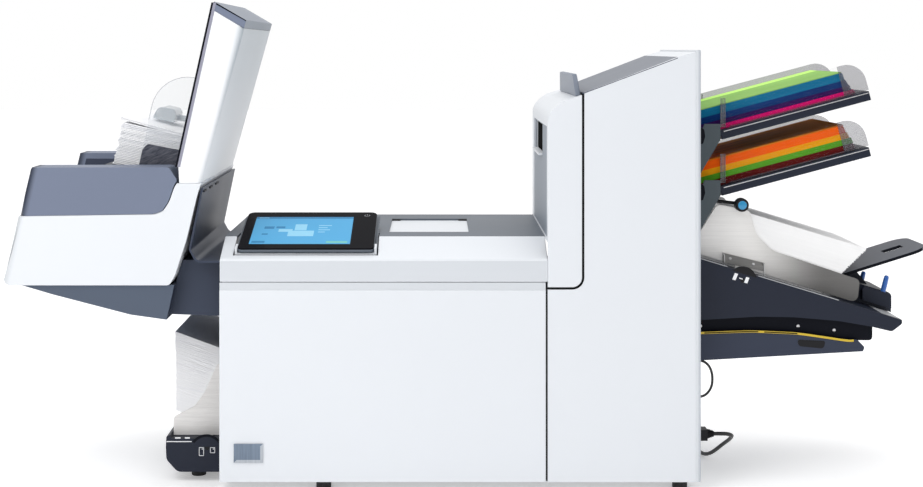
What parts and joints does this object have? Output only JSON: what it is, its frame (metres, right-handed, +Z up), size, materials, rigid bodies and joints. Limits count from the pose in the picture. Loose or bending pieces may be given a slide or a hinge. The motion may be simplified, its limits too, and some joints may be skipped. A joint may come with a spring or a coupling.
{
  "type": "folder inserter",
  "caption": "Desktop folder inserter with sloping sheet trays, a main sheet feeder, a touch display, a lifting L-shaped cover, an envelope feeder and a leaning envelope stacker.",
  "frame": {"origin": "on the desk, under the middle of the machine's box", "axes": "+X to the right along the paper path, +Y to the back, +Z up"},
  "size_m": [1.504, 0.517, 0.7755],
  "materials": {
    "panel_white": "smooth satin moulding",
    "panel_grey": "fine matt texture",
    "dark_plastic": "fine matt texture",
    "black_plastic": "matt",
    "screen": "gloss black glass look",
    "steel": "brushed",
    "rubber": "matt",
    "clear": "clear grey acrylic",
    "paper": "matt paper edges",
    "blue_plastic": "satin",
    "board": "circuit board",
    "cable": "satin cable jacket"
  },
  "bodies": {
    "chassis": {"base_tray": "dark_plastic", "feet": "rubber", "side_frames": "steel", "front_panel": "panel_white", "end_plate": "dark_plastic", "rear_cover": "panel_white", "fold_plates": "steel", "drive_motor": "black_plastic", "electronics": "board", "tower_front_panel": "panel_white", "tower_top_panel": "panel_grey", "tower_frame": "steel", "tower_side_frame": "panel_white", "upper_tray": "dark_plastic", "lower_tray": "dark_plastic", "sheet_piles": "paper", "feeder_deck": "dark_plastic", "feeder_arm": "black_plastic", "stacker_tub": "panel_white", "stacker_side_covers": "dark_plastic", "stack_bed": "black_plastic", "stacker_tower": "panel_white", "stacker_bracket": "dark_plastic", "envelope_piles": "paper", "envelope_base": "dark_plastic", "mains_connector": "black_plastic", "mains_lead": "cable", "mains_coil": "cable", "mains_plug": "black_plastic", "link_cable": "cable"},
    "upper_cover": {"cover_front": "panel_white", "cover_panel": "dark_plastic", "top_insert": "panel_white", "door_shell": "panel_white", "door_face": "panel_grey", "grip_paddle": "panel_grey"},
    "touch_display": {"display": "screen"},
    "fold_upper": {"fold_roller_upper": "rubber"},
    "fold_lower": {"fold_roller_lower": "rubber"},
    "upper_feed": {"upper_feed_roller": "rubber"},
    "lower_feed": {"lower_feed_roller": "rubber"},
    "main_feed": {"main_feed_roller": "rubber"},
    "envelope_feed": {"envelope_feed_roller": "rubber"},
    "upper_guide_front": {"upper_front_guide": "clear"},
    "upper_guide_rear": {"upper_rear_guide": "clear"},
    "lower_guide_front": {"lower_front_guide": "clear"},
    "lower_guide_rear": {"lower_rear_guide": "clear"},
    "main_screw": {"main_guide_screw": "black_plastic"},
    "main_guide_front": {"main_front_guide": "steel"},
    "main_guide_rear": {"main_rear_guide": "steel"},
    "knob": {"separator_knob": "black_plastic"},
    "stop": {"back_stop": "dark_plastic", "tail_support": "dark_plastic"},
    "lever": {"release_lever": "blue_plastic"},
    "under_cover": {"lower_cover": "dark_plastic"},
    "guard": {"stack_guard": "clear"},
    "weight": {"stack_weight": "clear"},
    "envelope_screw": {"envelope_guide_screw": "black_plastic"},
    "envelope_guide_front": {"envelope_front_guide": "steel"},
    "envelope_guide_rear": {"envelope_rear_guide": "steel"}
  },
  "joints": [
    {"name": "cover_lift", "type": "hinge", "parent": "chassis", "child": "upper_cover", "pos_m": [-0.40148, 0, 0.388], "axis": [0, -1, 0], "range_deg": [0, 45]},
    {"name": "display_tilt", "type": "hinge", "parent": "upper_cover", "child": "touch_display", "pos_m": [-0.27648, -0.17714, 0.38238], "axis": [1, 0, 0], "range_deg": [0, 10]},
    {"name": "fold_upper_spin", "type": "hinge", "parent": "chassis", "child": "fold_upper", "pos_m": [-0.19248, 0, 0.25], "axis": [0, 1, 0], "continuous": true},
    {"name": "fold_lower_spin", "type": "hinge", "parent": "chassis", "child": "fold_lower", "pos_m": [-0.19248, 0, 0.2054], "axis": [0, 1, 0], "continuous": true},
    {"name": "upper_feed_spin", "type": "hinge", "parent": "chassis", "child": "upper_feed", "pos_m": [0.32752, 0, 0.60624], "axis": [0, 1, 0], "continuous": true},
    {"name": "lower_feed_spin", "type": "hinge", "parent": "chassis", "child": "lower_feed", "pos_m": [0.32752, 0, 0.51991], "axis": [0, 1, 0], "continuous": true},
    {"name": "main_feed_spin", "type": "hinge", "parent": "chassis", "child": "main_feed", "pos_m": [0.29452, 0, 0.365], "axis": [0, 1, 0], "continuous": true},
    {"name": "envelope_feed_spin", "type": "hinge", "parent": "chassis", "child": "envelope_feed", "pos_m": [-0.39148, 0, 0.05854], "axis": [0, 1, 0], "continuous": true},
    {"name": "upper_front_slide", "type": "slide", "parent": "chassis", "child": "upper_guide_front", "axis": [0, -1, 0], "range_m": [0, 0.012]},
    {"name": "upper_rear_slide", "type": "slide", "parent": "chassis", "child": "upper_guide_rear", "axis": [0, 1, 0], "range_m": [0, 0.012]},
    {"name": "lower_front_slide", "type": "slide", "parent": "chassis", "child": "lower_guide_front", "axis": [0, -1, 0], "range_m": [0, 0.012]},
    {"name": "lower_rear_slide", "type": "slide", "parent": "chassis", "child": "lower_guide_rear", "axis": [0, 1, 0], "range_m": [0, 0.012]},
    {"name": "main_screw_turn", "type": "hinge", "parent": "chassis", "child": "main_screw", "pos_m": [0.42652, 0, 0.3265], "axis": [0, 1, 0], "range_deg": [0, 720]},
    {"name": "main_front_slide", "type": "slide", "parent": "chassis", "child": "main_guide_front", "axis": [0, -1, 0], "range_m": [0, 0.01]},
    {"name": "main_rear_slide", "type": "slide", "parent": "chassis", "child": "main_guide_rear", "axis": [0, 1, 0], "range_m": [0, 0.01]},
    {"name": "knob_turn", "type": "hinge", "parent": "main_guide_front", "child": "knob", "pos_m": [0.42952, -0.117, 0.446], "axis": [0, 1, 0], "range_deg": [-150, 150]},
    {"name": "stop_slide", "type": "slide", "parent": "chassis", "child": "stop", "axis": [0.9573, 0, -0.289], "range_m": [0, 0.03]},
    {"name": "lever_press", "type": "hinge", "parent": "stop", "child": "lever", "pos_m": [0.67852, 0, 0.28028], "axis": [0, 1, 0], "range_deg": [0, 20], "stiffness_Nm_per_rad": 0.3, "springref_deg": -2.86},
    {"name": "under_cover_drop", "type": "hinge", "parent": "chassis", "child": "under_cover", "pos_m": [0.36352, 0, 0.213], "axis": [0, 1, 0], "range_deg": [0, 15]},
    {"name": "guard_slide", "type": "slide", "parent": "chassis", "child": "guard", "axis": [0, -1, 0], "range_m": [0, 0.012]},
    {"name": "weight_lift", "type": "slide", "parent": "chassis", "child": "weight", "axis": [0.2164, 0, 0.9763], "range_m": [0, 0.12]},
    {"name": "envelope_screw_turn", "type": "hinge", "parent": "chassis", "child": "envelope_screw", "pos_m": [-0.43948, 0, 0.055], "axis": [0, 1, 0], "range_deg": [0, 576]},
    {"name": "envelope_front_slide", "type": "slide", "parent": "chassis", "child": "envelope_guide_front", "axis": [0, -1, 0], "range_m": [0, 0.008]},
    {"name": "envelope_rear_slide", "type": "slide", "parent": "chassis", "child": "envelope_guide_rear", "axis": [0, 1, 0], "range_m": [0, 0.008]}
  ],
  "couplings": [
    {"joint": "fold_lower_spin", "follows": "fold_upper_spin", "ratio": -1},
    {"joint": "upper_rear_slide", "follows": "upper_front_slide", "ratio": 1},
    {"joint": "lower_rear_slide", "follows": "lower_front_slide", "ratio": 1},
    {"joint": "main_screw_turn", "follows": "main_front_slide", "rad_per_m": 1256.6},
    {"joint": "main_rear_slide", "follows": "main_front_slide", "ratio": 1},
    {"joint": "envelope_screw_turn", "follows": "envelope_front_slide", "rad_per_m": 1256.6},
    {"joint": "envelope_rear_slide", "follows": "envelope_front_slide", "ratio": 1}
  ]
}
